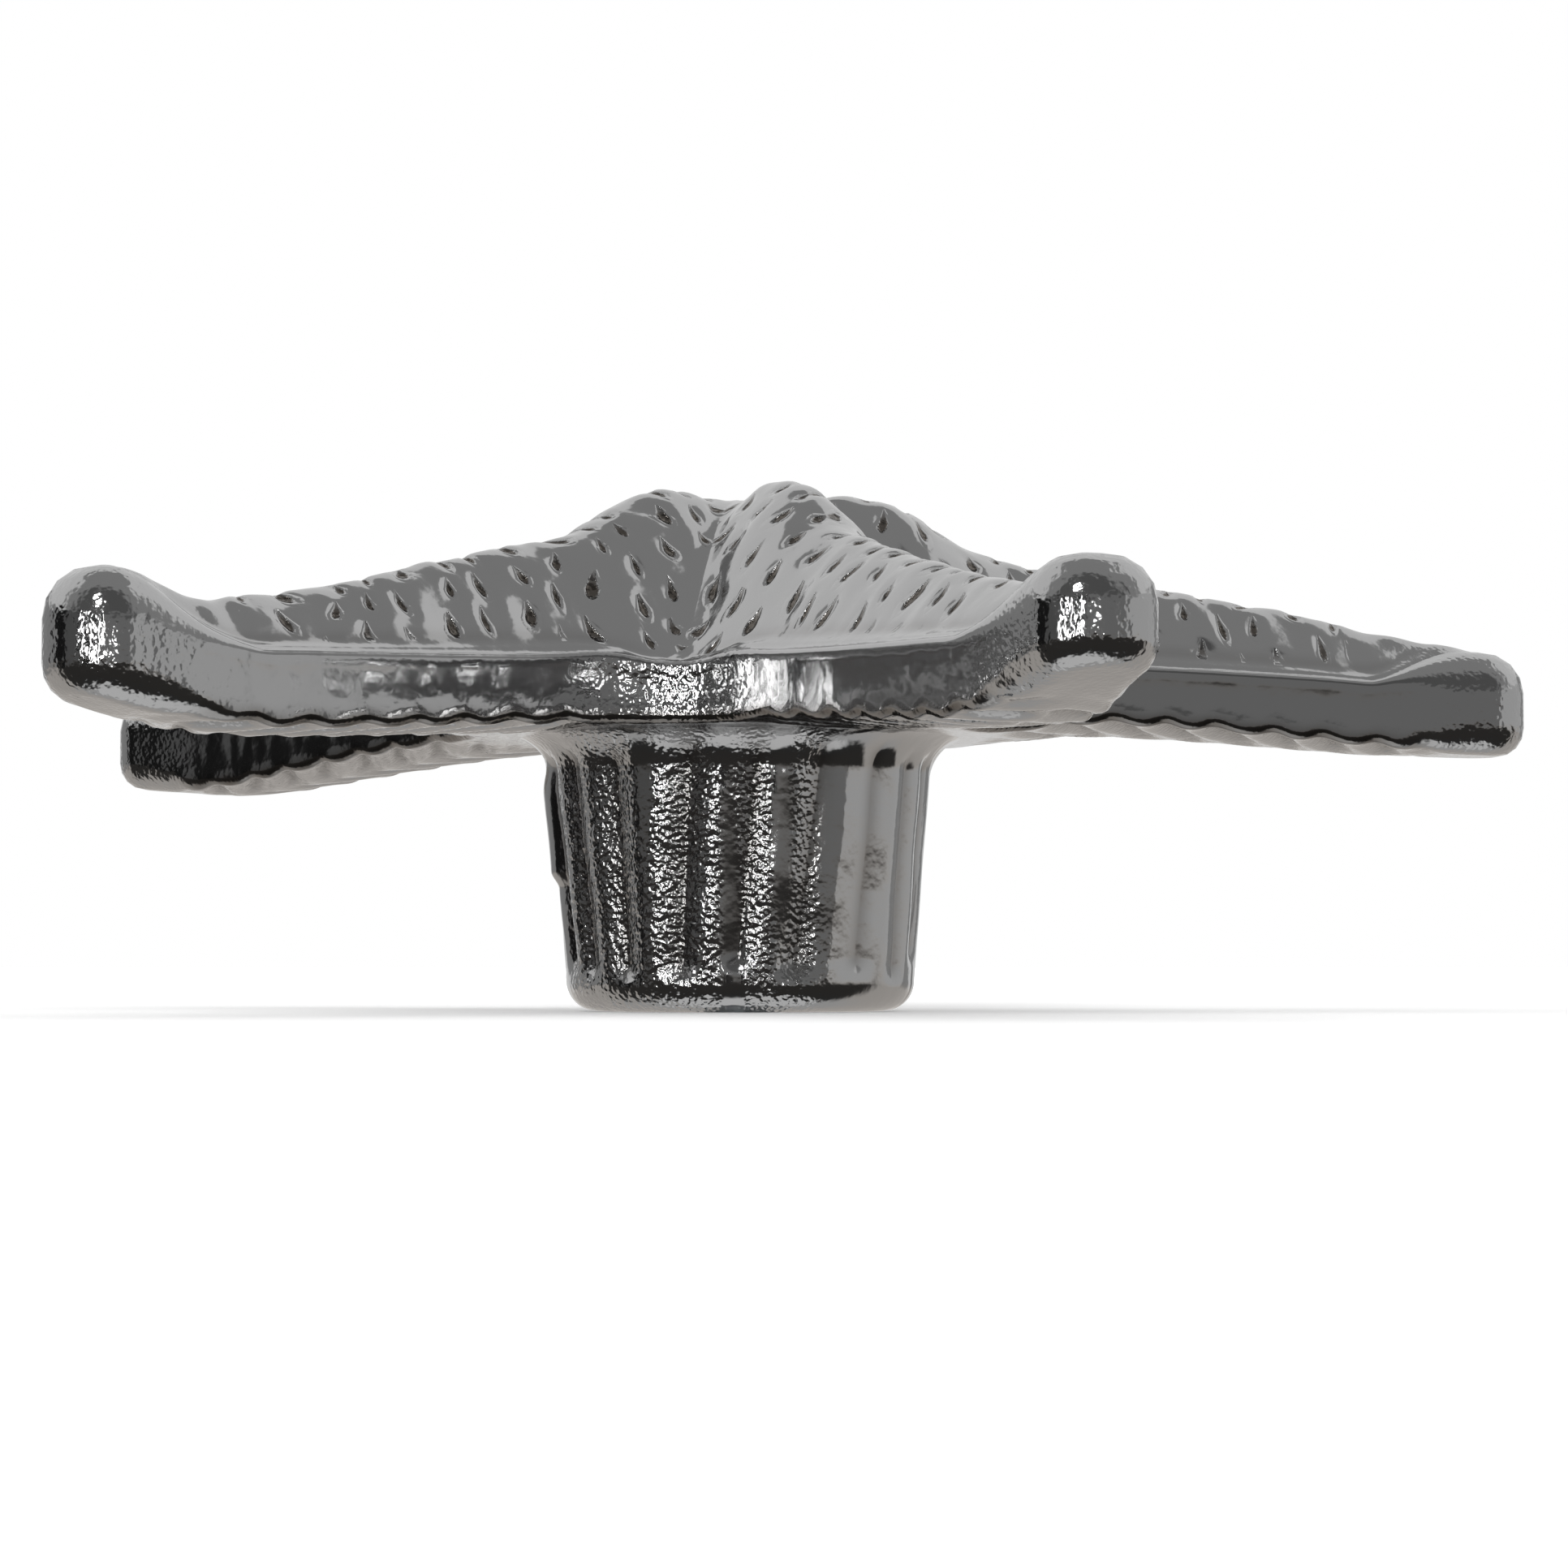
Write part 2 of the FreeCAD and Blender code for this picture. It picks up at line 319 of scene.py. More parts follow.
class NodeKit:
    """Adds nodes to one node tree."""

    def __init__(self, owner: bpy.types.Material | bpy.types.World) -> None:
        """Start with an empty tree.

        Args:
            owner: Material or world that the tree belongs to.
        """
        owner.use_nodes = True
        self.owner = owner
        self.tree = owner.node_tree
        self.tree.nodes.clear()

    def node(
        self, kind: str, settings: dict[str, Any], inputs: dict[Any, Any], output: Any = 0
    ) -> Term:
        """Add a node.

        Args:
            kind: Blender's name for the node type.
            settings: Properties, which are set first.
            inputs: Values or terms by socket name or number.
            output: Name or number of the output that is wanted.

        Returns:
            That output as a term.
        """
        made = self.tree.nodes.new(kind)
        for name, value in settings.items():
            setattr(made, name, value)
        for name, value in inputs.items():
            if isinstance(value, Term):
                self.tree.links.new(value.socket, made.inputs[name])
            else:
                made.inputs[name].default_value = value
        return Term(self, made.outputs[output])

    def place(self) -> Term:
        """Object coordinates, in millimetres.

        Returns:
            The coordinates as a vector.
        """
        where = self.node("ShaderNodeTexCoord", {}, {}, "Object")
        inputs = {0: where, "Scale": 1.0 / MM}
        return self.node("ShaderNodeVectorMath", {"operation": "SCALE"}, inputs)

    def attribute(self, name: str) -> Term:
        """A value stored at the mesh's points."""
        return self.node("ShaderNodeAttribute", {"attribute_name": name}, {}, "Fac")

    def noise(self, where: Term, scale: float, detail: float = 2.0) -> Term:
        """Noise between 0 and 1, with scale features to the millimetre."""
        inputs = {"Vector": where, "Scale": scale, "Detail": detail}
        return self.node("ShaderNodeTexNoise", {}, inputs, 0)

    def mix(self, factor: Any, first: Any, second: Any) -> Term:
        """Colour between first and second."""
        inputs = {0: factor, 6: first, 7: second}
        return self.node("ShaderNodeMix", {"data_type": "RGBA"}, inputs, 2)

    def along(self, vector: Term, axis: Iterable[float]) -> Term:
        """Dot product of a vector and a fixed axis."""
        inputs = {0: vector, 1: tuple(axis)}
        return self.node("ShaderNodeVectorMath", {"operation": "DOT_PRODUCT"}, inputs, "Value")

    def dent(self, height: Term, distance: float, under: Any = None) -> Term:
        """Bump normal from a height.

        Args:
            height: Height between 0 and 1.
            distance: Depth that a height of 1 stands for, in metres.
            under: Normal that the bump is added to, if any.

        Returns:
            The new normal.
        """
        inputs = {"Strength": 1.0, "Distance": distance, "Height": height}
        if under is not None:
            inputs["Normal"] = under
        return self.node("ShaderNodeBump", {}, inputs)

    def surface(self, inputs: dict[str, Any]) -> Any:
        """Finish a material with a Principled shader.

        Args:
            inputs: Values or terms for the shader's sockets.

        Returns:
            The finished material.
        """
        shader = self.node("ShaderNodeBsdfPrincipled", {}, inputs)
        out = self.tree.nodes.new("ShaderNodeOutputMaterial")
        self.tree.links.new(shader.socket, out.inputs["Surface"])
        return self.owner


def grey(value: float, warmth: float = 0.0) -> tuple[float, float, float, float]:
    """Opaque grey, with red raised and blue lowered by warmth."""
    return (value * (1.0 + warmth), value, value * (1.0 - warmth), 1.0)


# ----------------------------------------------------------------------------------------
# Finishes
# ----------------------------------------------------------------------------------------
@dataclass(frozen=True)
class PitLattice:
    """Teardrop pits in staggered rows, in millimetres unless said.

    The pits are `along` apart in a row, and the rows are `row` apart from the first one.
    `lean` tilts a pit, `cup` and `half_width` are its round end, `tail` its pointed end, and
    `smallest` and `size_spread` are shares of those sizes.
    """

    along: float = 2.1
    row: float = 1.40
    first_row: float = 0.62
    lean: float = 0.30
    cup: float = 0.37
    half_width: float = 0.25
    tail: float = 0.95
    middle: float = 0.10
    smallest: float = 0.70
    size_spread: float = 0.36


@dataclass(frozen=True)
class BrightCasting:
    """Plated casting: polished high spots, fine cast grain, and pits and hollows darkened by
    patina and painted shade.

    `metal` and `hollow` are tones, the `_per_mm` fields are how fine each noise is, and the
    depths are in metres, as a Bump node takes them.
    """

    metal: float = 0.50
    # hollow: warm dark tone of the patina and painted shade in pits, grooves and hollows
    hollow: float = 0.13
    polish: float = 0.075
    grain_per_mm: float = 4.2
    skin_per_mm: float = 0.9
    speck_per_mm: float = 2.4
    cloud_per_mm: float = 0.35
    ragged_per_mm: float = 4.0
    ragged: float = 0.9
    grain_depth: float = 0.000085
    pit_depth: float = 0.00021
    skin_depth: float = 0.000035
    lattice: PitLattice = PitLattice()

    def pit(self, kit: NodeKit) -> tuple[Term, Term]:
        """Share of a pit's depth and of the raised border round it.

        The stored lattice coordinates are rounded to the nearest pit. What is left over is
        turned by the lean, and a teardrop, round below and pointed above, is read from it.

        Args:
            kit: The material's nodes.

        Returns:
            Depth from 0 to 1, and border from 0 to 1.
        """
        grid = self.lattice
        row = kit.attribute("pit_row")
        step = row.whole()
        run = kit.attribute("pit_run") + 0.5 * step
        number = run.whole()
        cell = kit.node("ShaderNodeCombineXYZ", {}, {0: number, 1: step, 2: 0.0})
        flat_noise = {"noise_dimensions": "3D"}
        chance = kit.node("ShaderNodeTexWhiteNoise", flat_noise, {"Vector": cell}, 0)
        size = grid.smallest + grid.size_spread * chance
        over = (run - number) * grid.along
        down = (row - step) * grid.row
        across = (over - grid.lean * down) / size
        below = (down + grid.lean * over + grid.middle) / size
        narrow = (1.0 + below.least(0.0) / grid.tail).most(0.04)
        wide = across / (grid.half_width * narrow)
        deep = below.most(0.0) / grid.cup
        reach = wide * wide + deep * deep
        alive = kit.attribute("pitted")
        edge = reach + (kit.noise(kit.place(), self.ragged_per_mm) - 0.5) * self.ragged
        cup = (1.0 - edge.above(0.35, 1.25)) * narrow * alive
        border = edge.above(0.5, 1.3) * (1.0 - edge.above(1.3, 4.5)) * narrow * alive
        return cup, border

    def make(self) -> bpy.types.Material:
        """Build the node tree.

        Returns:
            The material, which reads the mesh's patina and painted shade, grain and pit values.
        """
        kit = NodeKit(bpy.data.materials.new("bright_casting"))
        where = kit.place()
        patina = kit.attribute("patina")
        cup, border = self.pit(kit)
        grain = kit.attribute("grain").most(cup)
        fine = kit.noise(where, self.grain_per_mm, 0.6)
        cloud = kit.noise(where, self.cloud_per_mm)
        skin = kit.noise(where, self.skin_per_mm, 1.5)
        speck = kit.noise(where, self.speck_per_mm).above(0.58, 0.70)
        # Painted shade with patina: pits, grooves, flutes and hollows are darkened toward the
        # warm hollow tone; the specks are cast grain
        dark = patina.most(cup * 1.1) + 0.10 * speck * grain
        color = kit.mix(dark.above(0.05, 1.0), grey(self.metal), grey(self.hollow, 0.12))
        rough = self.polish + 0.05 * cloud + 0.06 * dark + 0.03 * grain
        pitted = kit.dent(border * 0.22 - cup, self.pit_depth)
        rippled = kit.dent(skin, self.skin_depth, pitted)
        normal = kit.dent(fine * grain, self.grain_depth, rippled)
        return kit.surface({
            "Base Color": color, "Metallic": 1.0, "Roughness": rough, "Normal": normal})


@dataclass(frozen=True)
class ZincPlate:
    """Zinc-plated steel: cool grey with faint clouding and fine turning marks."""

    metal: float = 0.62
    cloud_per_mm: float = 0.9
    fine_per_mm: float = 9.0
    fine_depth: float = 0.000005

    def make(self) -> bpy.types.Material:
        """Build the node tree.

        Returns:
            The material.
        """
        kit = NodeKit(bpy.data.materials.new("zinc_plate"))
        where = kit.place()
        cloud = kit.noise(where, self.cloud_per_mm, 3.0)
        fine = kit.noise(where, self.fine_per_mm)
        blue = (self.metal * 0.93, self.metal * 0.99, self.metal * 1.05, 1.0)
        color = kit.mix(cloud.above(0.35, 0.75), blue, grey(self.metal * 0.78, 0.03))
        rough = 0.24 + 0.16 * cloud + 0.08 * fine
        normal = kit.dent(fine, self.fine_depth)
        return kit.surface({
            "Base Color": color, "Metallic": 1.0, "Roughness": rough, "Normal": normal})


@dataclass(frozen=True)
class PaleFloor:
    """Matt, nearly white floor with a barely seen mottle, which glows more with distance."""

    tone: float = 0.86
    mottle: float = 0.97
    mottle_per_mm: float = 0.02
    near_glow: float = 0.25
    glow: float = 1.05
    near: float = 40.0
    far: float = 260.0

    def make(self) -> bpy.types.Material:
        """Build the node tree.

        Returns:
            The material.
        """
        kit = NodeKit(bpy.data.materials.new("pale_floor"))
        where = kit.place()
        cloud = kit.noise(where, self.mottle_per_mm)
        color = kit.mix(cloud, grey(self.tone), grey(self.tone * self.mottle))
        away = kit.node("ShaderNodeVectorMath", {"operation": "LENGTH"}, {0: where}, "Value")
        glow = kit.mix(away.above(self.near, self.far), grey(self.near_glow), grey(1.0))
        return kit.surface({
            "Base Color": color, "Roughness": 0.9, "Emission Color": glow,
            "Emission Strength": self.glow})


# ----------------------------------------------------------------------------------------
# The cast star
# ----------------------------------------------------------------------------------------
Steps = tuple[tuple[float, float, float], ...]


def stepped(steps: Steps, s: Array) -> Array:
    """Sum of smooth steps, each given as (rise, where it starts, where it ends)."""
    return sum(rise * smooth(start, stop, s) for rise, start, stop in steps)


@dataclass(frozen=True)
class BendForm:
    """Steps that an arm's lower edge and its ridge make, and how far the edge curls up."""

    edge_steps: Steps
    edge_curl: float
    ridge_steps: Steps


class Bend(Enum):
    """How an arm leaves the level of the others toward its tip."""

    CURLED = BendForm(((-0.75, 10.7, 31.0),), 0.95, ((1.75, 31.0, 37.0), (-0.45, 14.0, 32.0)))
    LEVEL = BendForm(
        ((0.55, 10.7, 17.0), (-1.20, 16.0, 38.0)), 0.0,
        ((0.55, 13.0, 21.0), (-0.50, 26.0, 34.0), (0.15, 34.0, 37.0)))
    DROOPED = BendForm(((-2.35, 11.0, 39.0),), 0.45, ((0.6, 31.0, 37.0), (-1.4, 14.0, 32.0)))


@dataclass(frozen=True)
class ArmForm:
    """Heading and bend of one arm, and how it differs from the others of that bend.

    `hump` raises the ridge beside the crown, `tip_rise` raises the top of the tip and
    `tip_sink` lowers its underside, and `shorter` is taken off the arm's reach.
    """

    heading: float
    bend: Bend
    seed: int
    hump: float = 0.0
    tip_rise: float = 0.0
    tip_sink: float = 0.0
    shorter: float = 0.0

    HUMP_PLACE = 8.4
    HUMP_WIDTH = 2.5
    TIP_START = 31.0
    CURL_START = 29.5
    CURL_RUN = 6.0
    CURL_POWER = 1.7

    def turned(self) -> Array:
        """Matrix that turns points from the arm's own directions to the part's.

        Returns:
            A three by three matrix, for points that stand to its left.
        """
        turn = np.radians(self.heading)
        c, n = np.cos(turn), np.sin(turn)
        return np.array([[c, n, 0.0], [-n, c, 0.0], [0.0, 0.0, 1.0]])

    def low_lift(self, s: Array) -> Array:
        """Rise of the arm's lower edge at a distance from the axis.

        It is the bend's steps, and a curl that grows as a power of the distance past its
        start.

        Args:
            s: Distance from the axis.

        Returns:
            Rise above the level underside.
        """
        form = self.bend.value
        past = np.clip((s - self.CURL_START) / self.CURL_RUN, 0.0, 2.0)
        sink = self.tip_sink * smooth(self.TIP_START, 37.5, s)
        return stepped(form.edge_steps, s) + form.edge_curl * past**self.CURL_POWER - sink

    def crest_lift(self, s: Array) -> Array:
        """Rise of the arm's ridge: the bend's steps, the hump and the tip's own rise.

        Args:
            s: Distance from the axis.

        Returns:
            Rise above the level ridge.
        """
        swell = self.hump * bump(self.HUMP_PLACE, self.HUMP_WIDTH, s)
        tip = self.tip_rise * smooth(self.TIP_START, 37.0, s)
        return swell + tip + stepped(self.bend.value.ridge_steps, s)


@dataclass
class StarHead:
    """Five-armed star: ridged arms, upright rim, rippled underside, closed all round.

    The heights are above the seat face. The plan sizes are those of one arm, whose tip is
    `reach` from the axis. The last five fields say how finely its grids are cut.
    """

    reach: float = 38.85
    crown: float = 25.22
    crown_power: float = 1.5
    valley_power: float = 1.55
    underside: float = 13.15
    rim_top: float = 16.1
    notch_radius: float = 13.2
    neck_half: float = 5.9
    tip_half: float = 3.1
    notch_flare: float = 2.2
    tip_round: float = 2.55
    tip_top_round: float = 2.1
    tip_low_round: float = 1.3
    ridge_above_tip: float = 1.7
    corner: float = 0.30
    low_corner: float = 0.42
    band_hollow: float = 0.09
    ripple_pitch: float = 2.45
    ripple_depth: float = 0.40
    ripple_lean: float = 0.62
    rope_depth: float = 0.11
    bead: float = 0.16
    groove: float = 0.12
    groove_place: float = 0.75
    pit_relief: float = 0.20
    wave_height: float = 0.070
    lump_height: float = 0.028
    lattice: PitLattice = PitLattice()
    rim_rows: int = 158
    valley_rows: int = 44
    top_columns: int = 56
    low_columns: int = 20
    turns: int = 4

    HALF_ANGLE = np.pi / 5
    DRIFT_SEED = 11
    STRAY_SEED = 12
    WAVE_SEED = 20
    LUMP_SEED = 60
    RIPPLE_SEED = 80
    BAND_SEED = 140

    def outline(self) -> Array:
        """Half of an arm's plan outline, from the notch to the end of the tip.

        The half width is a straight taper, plus a flare that dies away from the notch as
        an exponential. A quarter circle then turns into the blunt end.

        Returns:
            Points (distance from the axis, half width).
        """
        notch_s = self.notch_radius * np.cos(self.HALF_ANGLE)
        notch_t = self.notch_radius * np.sin(self.HALF_ANGLE)
        tip_start = self.reach - self.tip_round
        fine = np.linspace(0.0, 1.0, 4000)
        straight = notch_s + (tip_start - notch_s) * fine
        slope = (self.neck_half - self.tip_half) / (tip_start - notch_s)
        taper = notch_t - self.notch_flare - slope * (straight - notch_s)
        steep = 1.0 / np.tan(self.HALF_ANGLE) - slope
        flare = self.notch_flare * np.exp(-(straight - notch_s) * steep / self.notch_flare)
        width = taper + flare
        turn = QUARTER_TURN * fine[1:]
        end_s = tip_start + self.tip_round * np.sin(turn)
        end_t = width[-1] - self.tip_round * (1.0 - np.cos(turn))
        path = np.stack([
            np.r_[straight, end_s, self.reach], np.r_[width, end_t, 0.0]], axis=1)
        run = np.r_[0.0, np.cumsum(np.linalg.norm(np.diff(path, axis=0), axis=1))]
        even = np.linspace(0.0, run[-1], self.rim_rows)
        return np.stack([np.interp(even, run, path[:, i]) for i in (0, 1)], axis=1)

    def inset(self, outline: Array, distance: Array) -> Array:
        """Move outline points inward along their normals.

        Args:
            outline: Points from the notch to the tip.
            distance: How far each point moves.

        Returns:
            The moved points, the first on the notch's line and the last on the arm's.
        """
        tangent = np.gradient(outline, axis=0)
        tangent[0] = (np.sin(self.HALF_ANGLE), -np.cos(self.HALF_ANGLE))
        tangent[-1] = (0.0, -1.0)
        tangent /= np.linalg.norm(tangent, axis=1, keepdims=True)
        normal = np.stack([-tangent[:, 1], tangent[:, 0]], axis=1)
        moved = outline - normal * distance[:, None]
        moved[-1, 1] = 0.0
        return moved

    def tip_share(self, s: Array) -> Array:
        """How much of the rounded tip is reached: 0 on the arm, 1 at its end."""
        return smooth(self.reach - 8.5, self.reach - 3.2, s)

    def crest(self, arm: ArmForm, s: Array) -> Array:
        """Height of the ridge: a power of the share of the arm left, a hump and a dimple.

        Args:
            arm: The arm.
            s: Distance from the axis.

        Returns:
            Heights above the seat face.
        """
        left = np.clip(1.0 - s / self.reach, 0.0, 1.0)
        foot = self.rim_top + self.ridge_above_tip
        level = foot + (self.crown - foot) * left**self.crown_power
        hump = 1.25 * bump(5.8, 3.1, s)
        dimple = 0.45 * bump(0.0, 2.2, s)
        return level + hump - dimple + arm.crest_lift(s)

    def valley(self, radius: Array) -> Array:
        """Height of the valleys between the ridges, falling from the centre to the notch.

        Args:
            radius: Distance from the axis.

        Returns:
            Heights above the seat face.
        """
        top = self.crest(ArmForm(0.0, Bend.CURLED, 0), np.zeros(1))[0]
        share = np.clip(1.0 - (radius / self.notch_radius) ** 2, 0.0, 1.0)
        return self.rim_top + (top - self.rim_top) * share**self.valley_power

    def top_height(self, arm: ArmForm, s: Array, t: Array, q: Array, inside: Array) -> Array:
        """Height of the smooth upper surface.

        The flank is a hyperbola of the share across, which gives a soft ridge. Near the
        centre a squared cosine is mixed in, so that the valleys are rounded too, and the
        arm's own rise dies away toward the valley line, which two arms share.

        Args:
            arm: The arm.
            s: Distance along the arm.
            t: Distance across it.
            q: Share across, from -1 to 1.
            inside: Distance in from the edge.

        Returns:
            Heights above the seat face.
        """
        soft = np.cos(QUARTER_TURN * q) ** 2
        edge = 0.45 - 0.12 * smooth(10.0, 30.0, s)
        span = np.sqrt(1.0 + edge * edge) - edge
        plain = 1.0 - (np.sqrt(q * q + edge * edge) - edge) / span
        rounded = 0.85 * (1.0 - smooth(8.5, 15.0, s))
        flank = soft * rounded + plain * (1.0 - rounded)
        foot = self.valley(np.hypot(s, t)) + 0.55 * arm.low_lift(s)
        crest = self.crest(arm, s)
        tip = self.tip_share(s)
        foot = foot * (1.0 - tip) + (crest - 0.45) * tip
        end = self.reach - self.tip_top_round
        flank = flank * (1.0 - smooth(end - 2.4, end, s))
        shared = (1.0 - smooth(0.0, 1.2, inside)) * (1.0 - smooth(11.0, 15.0, s))
        return foot * (1.0 - flank) + (crest - shared * arm.crest_lift(s)) * flank

    def pit_grid(self, points: Array, s: Array, t: Array) -> tuple[Array, Array]:
        """Lattice coordinates of the pits: whole numbers at a pit's middle.

        They follow the distance along and across the arm, warped by a slow aimless drift
        of the place in plan, and are the same from both sides of a ridge or valley.

        Args:
            points: Surface in the part's own directions.
            s: Distance along the arm.
            t: Distance across it, without its sign.

        Returns:
            Coordinate along the arm and coordinate across it.
        """
        x, y = points[..., 0], points[..., 1]
        drift = wander(x, y, self.DRIFT_SEED, 8, 4.0, 9.0)
        stray = wander(x, y, self.STRAY_SEED, 8, 3.5, 8.0)
        grid = self.lattice
        run = (s + 0.42 * drift + 0.30 * t) / grid.along
        row = (t - grid.first_row + 0.20 * stray) / grid.row
        return run, row

    def pit_shape(self, run: Array, row: Array) -> Array:
        """Soft depth of a pit at its lattice coordinates: a bell with a long upper side.

        Args:
            run: Coordinate along the arm.
            row: Coordinate across it.

        Returns:
            Depth, 1 at the middle of a pit.
        """
        grid = self.lattice
        step = np.round(row)
        along = run + 0.5 * step
        over = (along - np.round(along)) * grid.along
        down = (row - step) * grid.row
        across = over - grid.lean * down
        below = down + grid.lean * over + 0.05
        length = np.where(below > 0.0, 0.36, 0.58)
        return np.exp(-((across / 0.31) ** 2) - (below / length) ** 2)

    def eased_half(self, edge: Array) -> Array:
        """Half width of the upper surface with its peak at the notch rounded off.

        It is the mean of the half width under a bell curve moved along the arm, except at
        the centre and the tip.

        Args:
            edge: Points (s, t) of the surface's edge.

        Returns:
            A half width for each of those points.
        """
        even = np.linspace(0.0, self.reach, 400)
        half = np.interp(even, edge[:, 0], edge[:, 1])
        spread = bump(0.0, 2.0, even[None, :] - edge[:, :1])
        mean = (spread * half).sum(axis=1) / spread.sum(axis=1)
        share = smooth(1.5, 6.0, edge[:, 0]) * (1.0 - smooth(28.0, 32.0, edge[:, 0]))
        return np.maximum(edge[:, 1] * (1.0 - share) + mean * share, 1e-6)

    def top(self, arm: ArmForm, edge: Array) -> Sheet:
        """Upper surface of one arm, from the centre to the rim.

        Args:
            arm: The arm.
            edge: Points (s, t) where the surface meets the rim, with the valley first.

        Returns:
            The sheet, in the arm's own directions.
        """
        q = np.linspace(-1.0, 1.0, self.top_columns + 1)[None, :]
        s = np.repeat(edge[:, :1], q.shape[1], axis=1)
        half = np.repeat(edge[:, 1:], q.shape[1], axis=1)
        t = half * q
        share = np.repeat(q, len(edge), axis=0)
        inside = half * (1.0 - np.abs(share))
        z = self.top_height(arm, s, t, t / self.eased_half(edge)[:, None], inside)
        rim = smooth(8.5, 13.0, s) * (1.0 - self.tip_share(s))
        bead = self.bead * bump(0.05, 0.30, inside)
        z = z + rim * (bead - self.groove * bump(self.groove_place, 0.38, inside))
        level = np.stack([s, t, z], axis=2)
        run, row = self.pit_grid(level @ arm.turned(), s, np.abs(t))
        valley = 1.0 - smooth(self.notch_radius - 3.0, self.notch_radius, np.hypot(s, t))
        clear = smooth(0.55, 1.0, inside + 3.0 * valley * (s < self.notch_radius))
        started = smooth(2.0, 3.2, s) * smooth(-0.62, -0.40, row)
        ended = 1.0 - smooth(self.reach - 9.2, self.reach - 7.4, s + 0.8 * np.abs(t))
        pitted = clear * started * ended
        off_edge = smooth(0.25, 1.0, inside)
        wave = self.wave_height * wander(s, t, self.WAVE_SEED + arm.seed, 9, 3.0, 7.0)
        lump = self.lump_height * wander(s, t, self.LUMP_SEED + arm.seed, 9, 1.4, 2.6)
        pit = self.pit_relief * self.pit_shape(run, row) * pitted
        move = off_edge * (wave + lump - pit)
        points = level + grid_normals(level) * move[:, :, None]
        values = {
            # Painted shade with patina: the groove under the rim's bead is darkened
            "patina": 0.30 * rim * bump(self.groove_place, 0.35, inside),
            "grain": 0.04 + 0.26 * self.tip_share(s),
            "pit_run": run, "pit_row": row, "pitted": pitted,
        }
        return Sheet.from_grid(points, values, flip=True)

    def rim_turns(self, outline: Array) -> tuple[Array, Array]:
        """How far the rim's upper and lower corners reach in, along the outline.

        Args:
            outline: Plan outline of an arm.

        Returns:
            Reach of the upper corner and of the lower one.
        """
        tip = self.tip_share(outline[:, 0])
        upper = self.corner + (self.tip_top_round - self.corner) * tip
        lower = self.low_corner + (self.tip_low_round - self.low_corner) * tip
        return upper, lower

    def low_height(self, arm: ArmForm, s: Array, t: Array, inside: Array) -> tuple[Array, Array]:
        """Height of the underside with its chevron ripples, and the ripple alone.

        The ripple is a sine of the distance along the arm plus a share of the distance
        across it, raised to sharpen its hollows, and it dies away at the tip and centre.

        Args:
            arm: The arm.
            s: Distance along the arm.
            t: Distance across it.
            inside: Distance in from the edge.

        Returns:
            Heights, and how deep the hollows are there.
        """
        level = self.underside + arm.low_lift(s)
        phase = FULL_TURN * (s + self.ripple_lean * np.abs(t)) / self.ripple_pitch
        stray = 0.5 * wander(s, t, self.RIPPLE_SEED + arm.seed, 5, 4.0, 9.0)
        wave = 0.5 + 0.5 * np.sin(phase + stray)
        alive = smooth(11.5, 14.5, s) * (1.0 - smooth(self.reach - 7.0, self.reach - 4.0, s))
        spine = 1.0 - 0.75 * bump(0.0, 0.7, t)
        hollow = wave**1.4 * alive * spine * smooth(-0.6, 0.6, inside)
        belly = 0.22 * alive * (1.0 - bump(0.0, 1.6, inside))
        return level - belly + self.ripple_depth * hollow, hollow

    def low(self, arm: ArmForm, edge: Array) -> Sheet:
        """Underside of one arm.

        Args:
            arm: The arm.
            edge: Points (s, t) where it meets the rim, with the valley first.

        Returns:
            The sheet, in the arm's own directions.
        """
        q = np.linspace(-1.0, 1.0, self.low_columns + 1)[None, :]
        s = np.repeat(edge[:, :1], q.shape[1], axis=1)
        half = np.repeat(edge[:, 1:], q.shape[1], axis=1)
        t = half * q
        z, hollow = self.low_height(arm, s, t, half * (1.0 - np.abs(q)))
        points = np.stack([s, t, z], axis=2)
        # Painted shade with patina: the ripple hollows of the underside are darkened
        values = self.unpitted({"patina": 0.5 * hollow, "grain": 0.25 + 0.4 * hollow})
        return Sheet.from_grid(points, values)

    def unpitted(self, values: dict[str, Array]) -> dict[str, Array]:
        """The values of a surface that has no pits, with the pit lattice switched off."""
        none = np.zeros_like(values["patina"])
        return {**values, "pit_run": none, "pit_row": none, "pitted": none}

    def rim(self, arm: ArmForm, outline: Array, top: Sheet, low: Sheet, side: int) -> Sheet:
        """Upright rim along one side of an arm, with rounded corners.

        From the upper surface a quarter of an ellipse turns down into the band, and
        another turns in to the underside, so that at the tip the two make a bulb.

        Args:
            arm: The arm.
            outline: Plan outline of the arm.
            top: Upper surface, whose edge column the rim starts from.
            low: Underside, whose edge column it ends on.
            side: 1 for the left side looking along the arm, -1 for the right.

        Returns:
            The sheet, in the arm's own directions.
        """
        column = -1 if side > 0 else 0
        above = top.points.reshape(-1, self.top_columns + 1, 3)[-self.rim_rows:, column]
        below = low.points.reshape(-1, self.low_columns + 1, 3)[-self.rim_rows:, column]
        out = np.c_[outline[:, 0], outline[:, 1] * side]
        tip = self.tip_share(outline[:, 0])
        height = above[:, 2] - below[:, 2]
        drop_top = self.corner + (0.40 * height - self.corner) * tip
        drop_low = self.low_corner + (0.27 * height - self.low_corner) * tip
        angle = np.linspace(0.0, QUARTER_TURN, self.turns + 1)
        columns = []
        for a in angle:
            plan = above[:, :2] + (out - above[:, :2]) * np.sin(a)
            columns.append(np.c_[plan, above[:, 2] - drop_top * (1.0 - np.cos(a))])
        start, stop = above[:, 2] - drop_top, below[:, 2] + drop_low
        inward = above[:, :2] - out
        inward = inward / np.maximum(np.linalg.norm(inward, axis=1, keepdims=True), 1e-6)
        for share in np.linspace(0.0, 1.0, self.turns + 3)[1:-1]:
